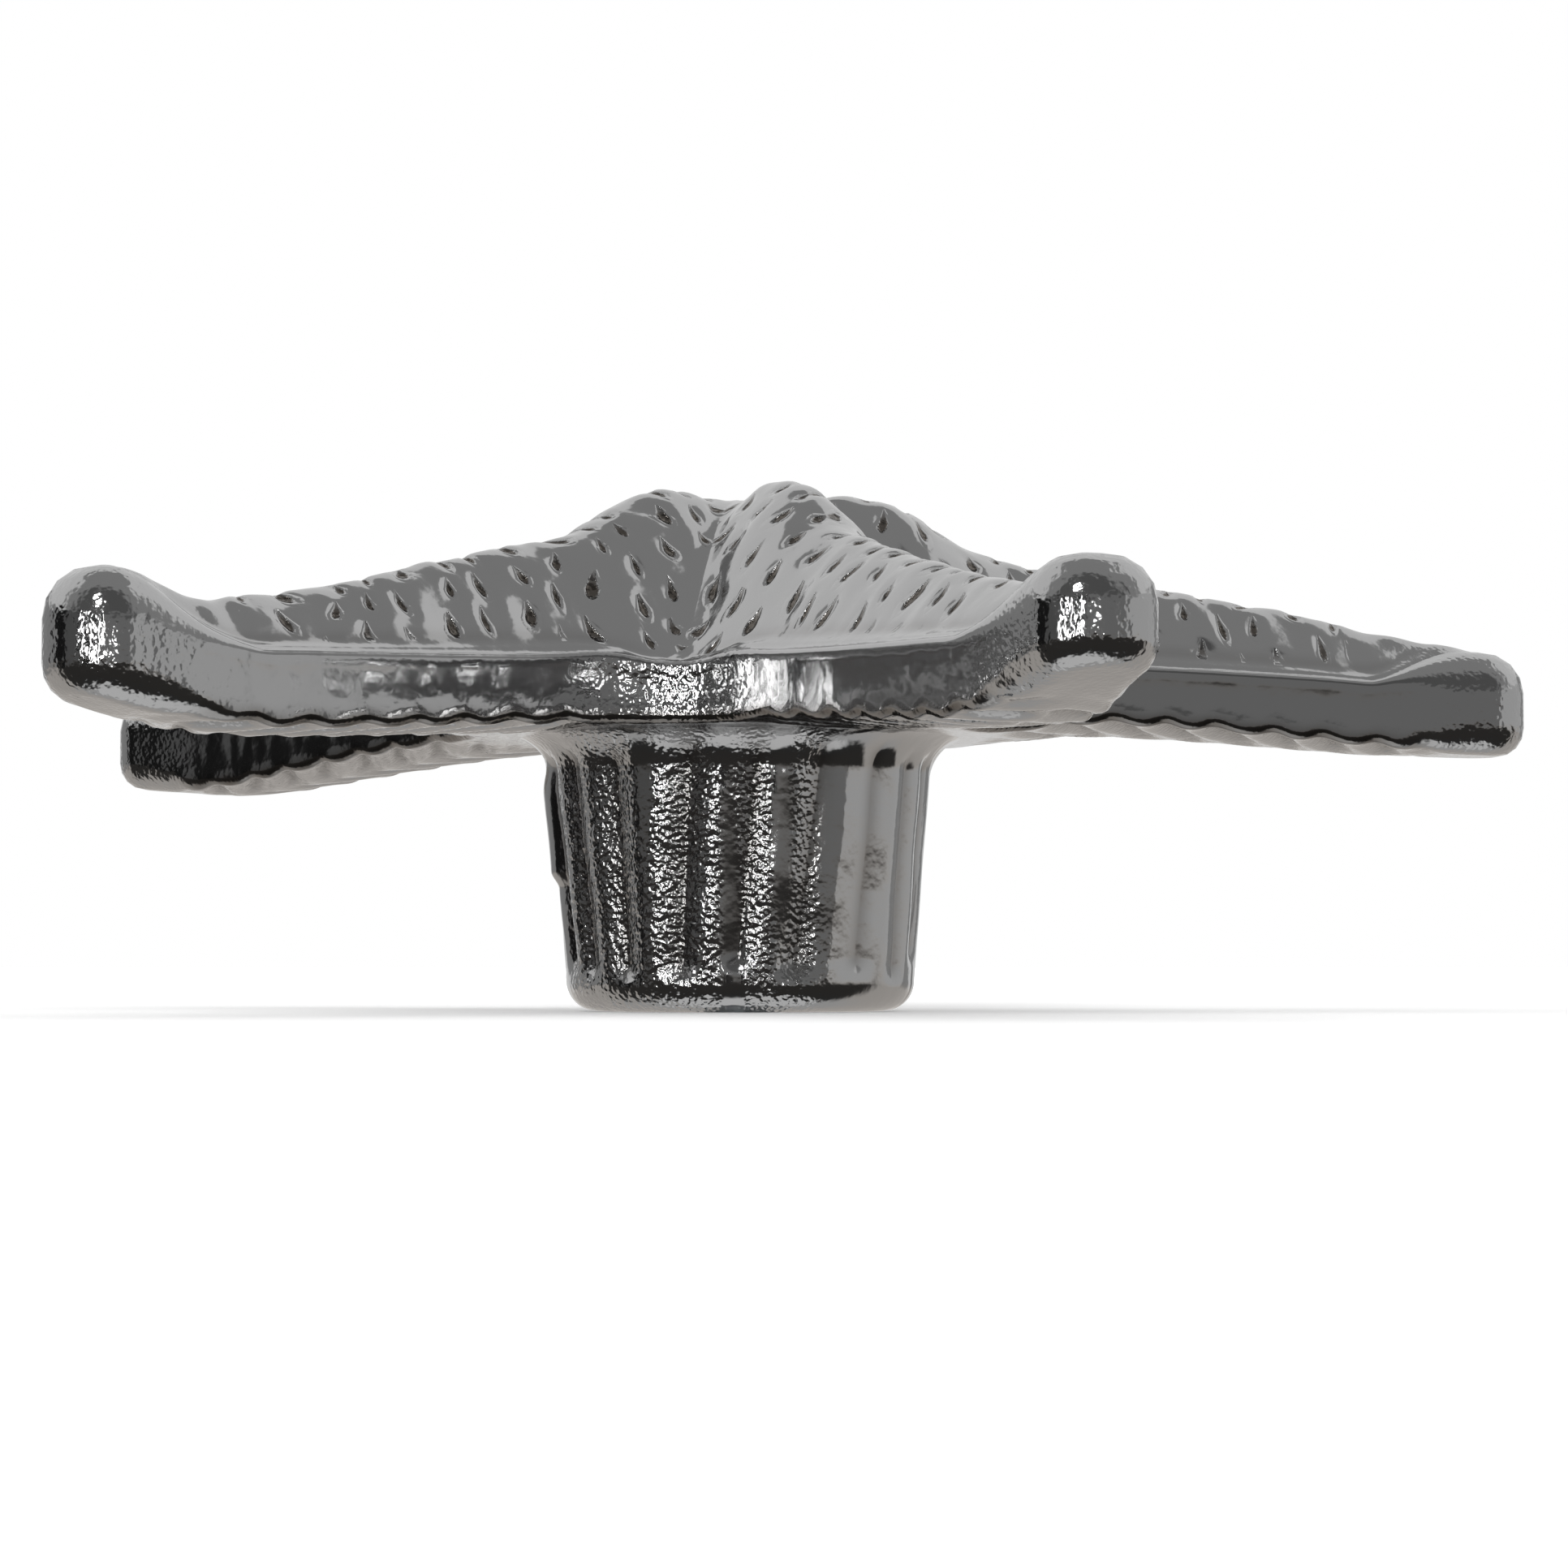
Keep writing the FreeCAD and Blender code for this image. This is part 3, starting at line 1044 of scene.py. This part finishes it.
            hollow = self.band_hollow * np.sin(np.pi * share) ** 0.7 * (1.0 - tip)
            columns.append(np.c_[out + inward * hollow[:, None], start + (stop - start) * share])
        for a in angle:
            plan = below[:, :2] + (out - below[:, :2]) * np.cos(a)
            columns.append(np.c_[plan, stop - drop_low * np.sin(a)])
        return self.dress_rim(arm, outline[:, :1], np.stack(columns, axis=1), side)

    def dress_rim(self, arm: ArmForm, along: Array, points: Array, side: int) -> Sheet:
        """Rough the rim a little and rope its lower edge, and store its grain, and its patina and
        painted shade.

        The rope is a sine of the distance along the arm plus the height.

        Args:
            arm: The arm.
            along: Distance from the axis of each row, in one column.
            points: Grid of the plain rim, from its upper edge down.
            side: 1 for the left side looking along the arm, -1 for the right.

        Returns:
            The sheet, in the arm's own directions.
        """
        tip = self.tip_share(along)
        row = np.arange(len(points))[:, None]
        column = np.linspace(0.0, 1.0, points.shape[1])[None, :]
        ends = smooth(0.0, 10.0, row) * smooth(0.0, 4.0, row[::-1])
        s, z = points[:, :, 0], points[:, :, 2]
        wave = wander(s, 0.35 * z, self.BAND_SEED + arm.seed + side, 10, 0.8, 3.5)
        rope = np.sin(FULL_TURN * (s + z) / self.ripple_pitch)
        rope = rope * smooth(0.62, 0.9, column) * smooth(12.0, 15.0, s)
        rope = rope * (1.0 - smooth(self.reach - 6.0, self.reach - 2.5, s))
        move = 0.008 * wave * (1.0 - tip) + self.rope_depth * rope
        move = ends * np.sin(np.pi * column) * move
        points = points + side * grid_normals(points) * move[:, :, None]
        low_band = smooth(0.58, 0.80, column) * np.ones_like(s)
        near_notch = bump(self.notch_radius - 2.4, 3.0, along)
        values = self.unpitted({
            # Painted shade with patina: the lower band of the rim is darkened, more in the rope's
            # hollows
            "patina": (0.725 - 0.125 * rope) * low_band * (1.0 - tip),
            "grain": np.clip(0.03 + 0.5 * near_notch + 0.15 * low_band + 0.30 * tip, 0.0, 1.0),
        })
        return Sheet.from_grid(points, values, flip=side > 0)

    def arm_sheets(self, arm: ArmForm) -> list[Sheet]:
        """All surfaces of one arm, turned to its heading.

        Args:
            arm: The arm.

        Returns:
            Upper surface, underside and the two sides of the rim.
        """
        outline = self.outline()
        upper, lower = self.rim_turns(outline)
        edges = []
        for radius in (upper, lower):
            edge = self.inset(outline, radius)
            run = np.linspace(0.0, 1.0, self.valley_rows, endpoint=False)[:, None]
            edges.append(np.r_[edge[:1] * run, edge])
        top = self.top(arm, edges[0])
        low = self.low(arm, edges[1])
        sheets = [top, low]
        sheets += [self.rim(arm, outline, top, low, side) for side in (-1, 1)]
        for sheet in sheets:
            s = sheet.points[:, 0]
            sheet.points[:, 0] = s - arm.shorter * smooth(12.0, self.reach, s)
        return [Sheet(s.points @ arm.turned(), s.faces, s.values) for s in sheets]

    def arms(self) -> list[ArmForm]:
        """The five arms, in turn from the curled one on the +X side."""
        return [
            ArmForm(-54.0, Bend.CURLED, 0, hump=0.60, shorter=0.3),
            ArmForm(18.0, Bend.LEVEL, 1, hump=0.75),
            ArmForm(90.0, Bend.LEVEL, 2, hump=0.75),
            ArmForm(162.0, Bend.DROOPED, 3, shorter=1.0),
            ArmForm(234.0, Bend.CURLED, 4, tip_rise=0.45, tip_sink=0.45, shorter=0.5),
        ]

    def build(self, finish: bpy.types.Material) -> bpy.types.Object:
        """Build the star in one closed mesh.

        Args:
            finish: Its material.

        Returns:
            The piece.
        """
        sheets = [sheet for arm in self.arms() for sheet in self.arm_sheets(arm)]
        star = build_mesh("starfish_head", weld(sheets))
        star.data.materials.append(finish)
        return star


# ----------------------------------------------------------------------------------------
# The fluted post
# ----------------------------------------------------------------------------------------
@dataclass
class FlutedPost:
    """Tapered post with uneven flutes, a rounded foot and a flare into the star.

    The sides are headings in degrees: where the cast grain lies, where the flutes are
    shallow, and where the wall swells over its upper half.
    """

    foot_radius: float = 8.45
    neck_radius: float = 9.25
    foot_round: float = 1.5
    flare: float = 2.1
    underside: float = 13.15
    bore: float = 3.2
    pocket: float = 11.0
    flutes: int = 19
    rough_side: float = -100.0
    smooth_side: float = -15.0
    swollen_side: float = 193.0
    flute_depth: float = 0.50
    swell: float = 0.34
    slow_wave: float = 0.03
    hidden_rise: float = 1.4
    columns: int = 460

    FLUTE_SEED = 7
    SLOW_SEED = 32
    PATCH_SEED = 33

    def profile(self) -> Array:
        """Points (radius, height) from inside the star down the wall and into the pocket.

        Returns:
            The profile, closed at the axis at both ends.
        """
        turn = np.linspace(0.0, QUARTER_TURN, 14)
        flare_z = self.underside + 0.12 - self.flare
        flare = np.c_[
            self.neck_radius + self.flare * (1.0 - np.sin(turn)),
            flare_z + self.flare * np.cos(turn),
        ]
        wall_z = np.linspace(flare_z, self.foot_round, 84)[1:-1]
        share = (wall_z - self.foot_round) / (flare_z - self.foot_round)
        wall = np.c_[self.foot_radius + (self.neck_radius - self.foot_radius) * share, wall_z]
        foot = np.c_[
            self.foot_radius - self.foot_round * (1.0 - np.cos(turn)),
            self.foot_round * (1.0 - np.sin(turn)),
        ]
        hidden_top = self.underside + self.hidden_rise
        outer = self.neck_radius + self.flare
        top = np.array([[0.0, hidden_top], [5.0, hidden_top], [outer - 0.4, hidden_top - 0.5]])
        seat = np.linspace(self.foot_radius - self.foot_round, self.bore, 6)[1:]
        base = np.c_[seat, np.zeros(5)]
        pocket = np.array([[self.bore, self.pocket], [0.0, self.pocket]])
        return np.r_[top, flare, wall, foot, base, pocket]

    def flute_cut(self, angle: Array, z: Array) -> tuple[Array, Array]:
        """Depth of the flutes at an angle and height, and their share of full depth.

        The flutes are a sharpened cosine of an angle that wanders a little with height,
        with a seeded width and depth for each, and rounded off at both ends.

        Args:
            angle: Angle round the axis, in radians.
            z: Height above the seat face.

        Returns:
            Depth in millimetres, and the share from 0 to 1.
        """
        rng = np.random.default_rng(self.FLUTE_SEED)
        wobble = 0.05 * np.sin(3.0 * angle + 1.0) + 0.035 * np.sin(5.0 * angle + 0.4)
        drift = 0.012 * (z - 6.0) * np.sin(2.0 * angle + 0.7)
        turn = (angle + wobble + drift) * self.flutes / FULL_TURN
        number = np.round(turn).astype(int) % self.flutes
        gain = rng.uniform(0.65, 1.2, self.flutes)[number]
        foot = rng.uniform(1.7, 2.6, self.flutes)[number]
        head = self.underside - rng.uniform(0.2, 0.9, self.flutes)[number]
        sharp = (1.0 - np.abs(np.sin(np.pi * turn))) ** 1.15
        groove = 0.6 * sharp + 0.2 * (1.0 + np.cos(FULL_TURN * turn))
        ends = smooth(0.0, 1.1, z - foot + 0.6) * (1.0 - smooth(-0.8, 0.3, z - head))
        share = groove * ends
        shallow = 1.0 - 0.5 * smooth(0.3, 0.9, np.cos(angle - np.radians(self.smooth_side)))
        return self.flute_depth * gain * share * shallow, share

    def build(self, finish: bpy.types.Material) -> bpy.types.Object:
        """Build the post as its profile carried round the axis.

        Args:
            finish: Its material.

        Returns:
            The piece.
        """
        path = self.profile()
        angle = full_circle(self.columns)
        radius, height = path[:, :1], path[:, 1:]
        z = height * np.ones_like(angle)
        outer = smooth(self.foot_radius - 1.4, self.foot_radius - 0.3, radius)
        cut, share = self.flute_cut(angle * np.ones_like(z), z)
        arc = angle * self.neck_radius
        slow = self.slow_wave * wander(arc, z, self.SLOW_SEED, 7, 3.0, 9.0)
        swollen = np.cos(angle - np.radians(self.swollen_side))
        swell = self.swell * smooth(0.93, 0.985, swollen)
        swell = swell * smooth(5.9, 6.7, z) * (1.0 - smooth(10.4, 12.4, z))
        wall = np.maximum(radius + outer * (swell - cut + slow), 0.0) * (radius > 0)
        facing = smooth(0.55, 0.82, np.cos(angle - np.radians(self.rough_side)))
        patchy = 0.5 + 0.5 * wander(arc, 0.12 * z, self.PATCH_SEED, 9, 1.6, 4.0)
        none = np.zeros_like(z)
        values = {
            # Painted shade with patina: the flutes are darkened along their grooves
            "patina": 0.5 * share * outer,
            "grain": np.clip(0.06 + facing * smooth(-0.1, 0.55, patchy), 0.0, 1.0),
            "pit_run": none, "pit_row": none, "pitted": none,
        }
        sheet = Sheet.from_grid(around_axis(wall, z, angle), values, flip=True, around=True)
        post = build_mesh("fluted_post", weld([sheet]))
        post.data.materials.append(finish)
        return post


# ----------------------------------------------------------------------------------------
# The fixing
# ----------------------------------------------------------------------------------------
@dataclass
class FixingScrew:
    """Pan-head machine screw with a real thread and a cross recess."""

    pitch: float = 0.7
    major: float = 1.95
    minor: float = 1.58
    point: float = 0.9
    point_taper: float = 0.35
    tip_gap: float = 0.02
    head_radius: float = 3.95
    head_height: float = 2.55
    dome: float = 0.95
    edge_round: float = 0.15
    recess_half: float = 2.1
    recess_arm: float = 0.5
    recess_depth: float = 1.45
    columns: int = 72
    shank_rows: int = 430

    def shank(self, angle: Array, low: float, high: float) -> Array:
        """Threaded shank: its radius is a triangle wave of height less turn.

        The wave is cut flat at root and crest, and the last stretch tapers to a point.

        Args:
            angle: One row of angles.
            low: Height where the shank leaves the head.
            high: Height of its end.

        Returns:
            Grid of points.
        """
        z = np.linspace(low, high, self.shank_rows)[:, None]
        turn = (z / self.pitch - angle / FULL_TURN) % 1.0
        wave = np.clip(2.6 * np.abs(2.0 * turn - 1.0) - 0.8, 0.0, 1.0)
        end = high + self.tip_gap
        point = smooth(end - self.point, end, z)
        thread = (self.major - self.minor) * wave * (1.0 - point)
        return around_axis(self.minor + thread - self.point_taper * point, z, angle)

    def face(self, angle: Array, foot: float) -> Array:
        """Face of the head: a flattened dome with a cross cut into it.

        The dome falls with a power of the radius. The cross is where the smaller of the two
        distances from its arms is under half their width, and the larger under their length.

        Args:
            angle: One row of angles.
            foot: Height of the middle of the face.

        Returns:
            Grid of points, from the middle out.
        """
        rings = np.linspace(0.0, 1.0, 26)[:, None]
        flat = self.head_radius * rings
        x, y = np.abs(flat * np.cos(angle)), np.abs(flat * np.sin(angle))
        soft = 0.12
        cut = 1.0 - smooth(self.recess_arm - soft, self.recess_arm + soft, np.minimum(x, y))
        cut = cut * (1.0 - smooth(self.recess_half - 0.5, self.recess_half, np.maximum(x, y)))
        return around_axis(flat, foot + self.dome * rings**3.2 + self.recess_depth * cut, angle)

    def build(self, finish: bpy.types.Material) -> bpy.types.Object:
        """Build the screw from its face, its head's side and underside, and its shank.

        Args:
            finish: Its material.

        Returns:
            The piece, closed at both ends.
        """
        low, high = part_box("mounting_screw")
        foot, tip = low.z / MM, high.z / MM - self.tip_gap
        head_top = foot + self.head_height
        angle = full_circle(self.columns)
        side = np.linspace(foot + self.dome, head_top - self.edge_round, 6)[1:, None]
        under = np.linspace(self.head_radius - self.edge_round, self.major, 4)[:, None]
        points = np.concatenate([
            self.face(angle, foot),
            around_axis(np.full_like(side, self.head_radius), side, angle),
            around_axis(under, np.full_like(under, head_top), angle),
            self.shank(angle, head_top, tip),
            around_axis(np.zeros((1, 1)), np.full((1, 1), tip), angle),
        ])
        screw = build_mesh("threaded_screw", weld([Sheet.from_grid(points, {}, around=True)]))
        screw.data.materials.append(finish)
        return screw


@dataclass
class Fixing:
    """Insert, washer and screw behind the seat face."""

    screw: FixingScrew = field(default_factory=FixingScrew)

    def dress(self, finish: bpy.types.Material) -> bpy.types.Object:
        """Give the insert and washer their finish, and build the screw.

        Args:
            finish: Zinc plate.

        Returns:
            The screw.
        """
        for name in ("threaded_insert", "plain_washer"):
            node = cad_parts[name]
            node.data.materials.clear()
            node.data.materials.append(finish)
        return self.screw.build(finish)


# ----------------------------------------------------------------------------------------
# The studio
# ----------------------------------------------------------------------------------------
@dataclass(frozen=True)
class Lamp:
    """Area lamp that faces the knob and that the camera doesn't see.

    Its place is (toward the camera, to its right, up), in millimetres, and its radiance is
    the brightness of its surface. Without a height it is as high as it is wide.
    """

    name: str
    place: tuple[float, float, float]
    width: float
    radiance: float
    height: float = 0.0
    disc: bool = False
    glossy: bool = True


@dataclass
class Studio:
    """Camera, pale floor and soft lamps.

    Angles are in degrees and lengths in millimetres. A tall lamp is given as (azimuth from
    the camera to its right, height, width), and a zone that the metal mirrors as
    (brightness, azimuth, half width).
    """

    azimuth: float = 13.0
    distance: float = 189.0
    height: float = 2.2
    aim_right: float = 2.13
    aim_height: float = 11.0
    lens: float = 89.4
    sensor: float = 36.0
    floor_level: float = -0.02
    floor_rings: tuple[float, ...] = (2.3, 30.0, 120.0, 500.0, 3000.0)
    lamp_aim: float = 14.0
    lamp_distance: float = 320.0
    tall_lamps: tuple[tuple[float, float, float], ...] = (
        (-40.0, 40.0, 22.0), (-24.0, 26.0, 26.0), (-9.0, 48.0, 16.0))
    zones: tuple[tuple[float, float, float], ...] = (
        (0.21, 30.0, 35.0), (0.54, 95.0, 38.0), (0.30, 140.0, 20.0),
        (0.70, 180.0, 32.0), (0.30, -128.0, 24.0), (0.11, -64.0, 17.0))
    darkest: float = 0.012

    def axes(self) -> tuple[Array, Array]:
        """Unit vectors from the post toward the camera, and to the camera's right.

        Returns:
            The two vectors, both level.
        """
        turn = np.radians(self.azimuth)
        toward = np.array([np.sin(turn), -np.cos(turn), 0.0])
        right = np.array([np.cos(turn), np.sin(turn), 0.0])
        return toward, right

    def put(self, piece: bpy.types.Object, at: Array, aim: Array) -> bpy.types.Object:
        """Link a camera or lamp to the scene, at a place and looking at another.

        Args:
            piece: The camera or lamp.
            at: Its place, in millimetres.
            aim: What it looks at.

        Returns:
            The same object.
        """
        piece.location = Vector(at * MM)
        look = Vector((aim - at).tolist())
        piece.rotation_euler = look.to_track_quat("-Z", "Y").to_euler()
        bpy.context.scene.collection.objects.link(piece)
        return piece

    def camera(self) -> bpy.types.Object:
        """Place the camera.

        Returns:
            The camera, set as the scene's.
        """
        toward, right = self.axes()
        data = bpy.data.cameras.new("camera")
        data.lens = self.lens
        data.sensor_width = self.sensor
        data.clip_start = 0.005
        data.clip_end = 20.0
        eye = toward * self.distance + np.array([0.0, 0.0, self.height])
        aim = right * self.aim_right + np.array([0.0, 0.0, self.aim_height])
        camera = self.put(bpy.data.objects.new("camera", data), eye, aim)
        bpy.context.scene.camera = camera
        return camera

    def floor(self) -> bpy.types.Object:
        """Pale floor in the plane of the seat face, with a hole for the screw.

        Returns:
            The floor.
        """
        radius = np.array(self.floor_rings)[:, None]
        level = np.full_like(radius, self.floor_level)
        points = around_axis(radius, level, full_circle(64))
        floor = build_mesh("floor", Sheet.from_grid(points, {}, around=True))
        floor.data.materials.append(PaleFloor().make())
        floor.visible_glossy = False
        return floor

    def light(self, lamp: Lamp) -> bpy.types.Object:
        """Add a lamp.

        Args:
            lamp: Its place, size and brightness.

        Returns:
            The lamp's object.
        """
        toward, right = self.axes()
        at = toward * lamp.place[0] + right * lamp.place[1] + np.array([0.0, 0.0, lamp.place[2]])
        data = bpy.data.lights.new(lamp.name, "AREA")
        data.shape = "DISK" if lamp.disc else "RECTANGLE"
        data.size = lamp.width * MM
        height = lamp.height or lamp.width
        if not lamp.disc:
            data.size_y = height * MM
        area = lamp.width * height * MM * MM * (np.pi / 4.0 if lamp.disc else 1.0)
        data.energy = lamp.radiance * np.pi * area
        aim = np.array([0.0, 0.0, self.lamp_aim])
        made = self.put(bpy.data.objects.new(lamp.name, data), at, aim)
        made.visible_camera = False
        made.visible_glossy = lamp.glossy
        return made

    def lamps(self) -> list[Lamp]:
        """Two broad fills that metal doesn't mirror, three tall lamps and two small discs.

        Returns:
            The lamps.
        """
        lamps = [
            Lamp("wide_fill", (100.0, 0.0, 900.0), 1500.0, 1.0, glossy=False),
            Lamp("front_fill", (900.0, 0.0, 350.0), 900.0, 0.35, glossy=False),
        ]
        for number, (azimuth, height, width) in enumerate(self.tall_lamps):
            turn = np.radians(azimuth)
            place = (self.lamp_distance * np.cos(turn), self.lamp_distance * np.sin(turn), height)
            lamps.append(Lamp(f"tall_lamp_{number}", place, width, 8.0, height=110.0))
        lamps.append(Lamp("low_lamp", (290.0, 70.0, 14.0), 26.0, 10.0, disc=True))
        lamps.append(Lamp("high_lamp", (250.0, -70.0, 170.0), 48.0, 12.0, disc=True))
        return lamps

    def ring(self, kit: NodeKit, view: Term) -> Term:
        """Glow of the surroundings at eye level: the brightest zone that a direction is in.

        Args:
            kit: The world's nodes.
            view: Direction that is looked in.

        Returns:
            Brightness.
        """
        toward, right = self.axes()
        ring = None
        for glow, azimuth, half in self.zones:
            turn = np.radians(azimuth)
            middle = kit.along(view, toward * np.cos(turn) + right * np.sin(turn))
            edge, inside = np.cos(np.radians(half + 2.0)), np.cos(np.radians(half - 2.0))
            lit = glow * middle.above(edge, inside)
            ring = lit if ring is None else ring.most(lit)
        return ring.most(self.darkest)

    def world(self) -> None:
        """Surroundings that the metal mirrors: a pale back, mid grey above, dark in front.

        Each part is a smooth step of the direction's share toward the camera or upward, and
        the camera itself sees plain white.
        """
        world = bpy.data.worlds.new("studio")
        bpy.context.scene.world = world
        kit = NodeKit(world)
        view = kit.node("ShaderNodeTexCoord", {}, {}, "Generated")
        front = kit.along(view, self.axes()[0])
        up = kit.along(view, (0.0, 0.0, 1.0))
        ring = self.ring(kit, view)
        behind = (0.0 - front).above(-0.12, 0.06)
        over = 0.32 + 0.44 * behind * (1.0 - up.above(0.845, 0.87))
        over = over - 0.20 * front.above(0.35, 0.55)
        under = 0.035 + 0.45 * (0.0 - front).above(0.1, 0.3)
        under = under.most(0.75 * (0.0 - up).above(0.83, 0.93))
        glow = ring.toward(over, up.above(0.26, 0.34))
        glow = glow.toward(under, (0.0 - up).above(0.10, 0.22))
        seen = kit.node("ShaderNodeLightPath", {}, {}, "Is Camera Ray")
        strength = glow.toward(1.0, seen)
        warm = (0.0 - up).above(0.02, 0.2) * (1.0 - (0.0 - up).above(0.6, 0.9))
        tint = kit.mix(warm, grey(1.0), grey(1.0, 0.06))
        sky = kit.node("ShaderNodeBackground", {}, {"Color": tint, "Strength": strength})
        out = kit.tree.nodes.new("ShaderNodeOutputWorld")
        kit.tree.links.new(sky.socket, out.inputs["Surface"])

    def build(self) -> None:
        """Set up the whole studio."""
        self.camera()
        self.floor()
        self.world()
        for lamp in self.lamps():
            self.light(lamp)
        bpy.context.scene.view_settings.view_transform = "Standard"


# ----------------------------------------------------------------------------------------
# The whole object
# ----------------------------------------------------------------------------------------
def main() -> None:
    """Build the studio and every piece, and tie each to its body."""
    logging.basicConfig(level=logging.INFO, format="%(name)s: %(message)s")
    Studio().build()
    casting = BrightCasting().make()
    zinc = ZincPlate().make()
    star = StarHead().build(casting)
    post = FlutedPost().build(casting)
    screw = Fixing().dress(zinc)
    for piece, body, slot in (
        (star, "knob", "cast_knob"),
        (post, "knob", "cast_knob"),
        (screw, "screw", "zinc_plated_steel"),
    ):
        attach(piece, body)
        log.info("%s: %d faces", piece.name, len(piece.data.polygons))
    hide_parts("knob_casting")
    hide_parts("mounting_screw")


if __name__ == "__main__":
    main()
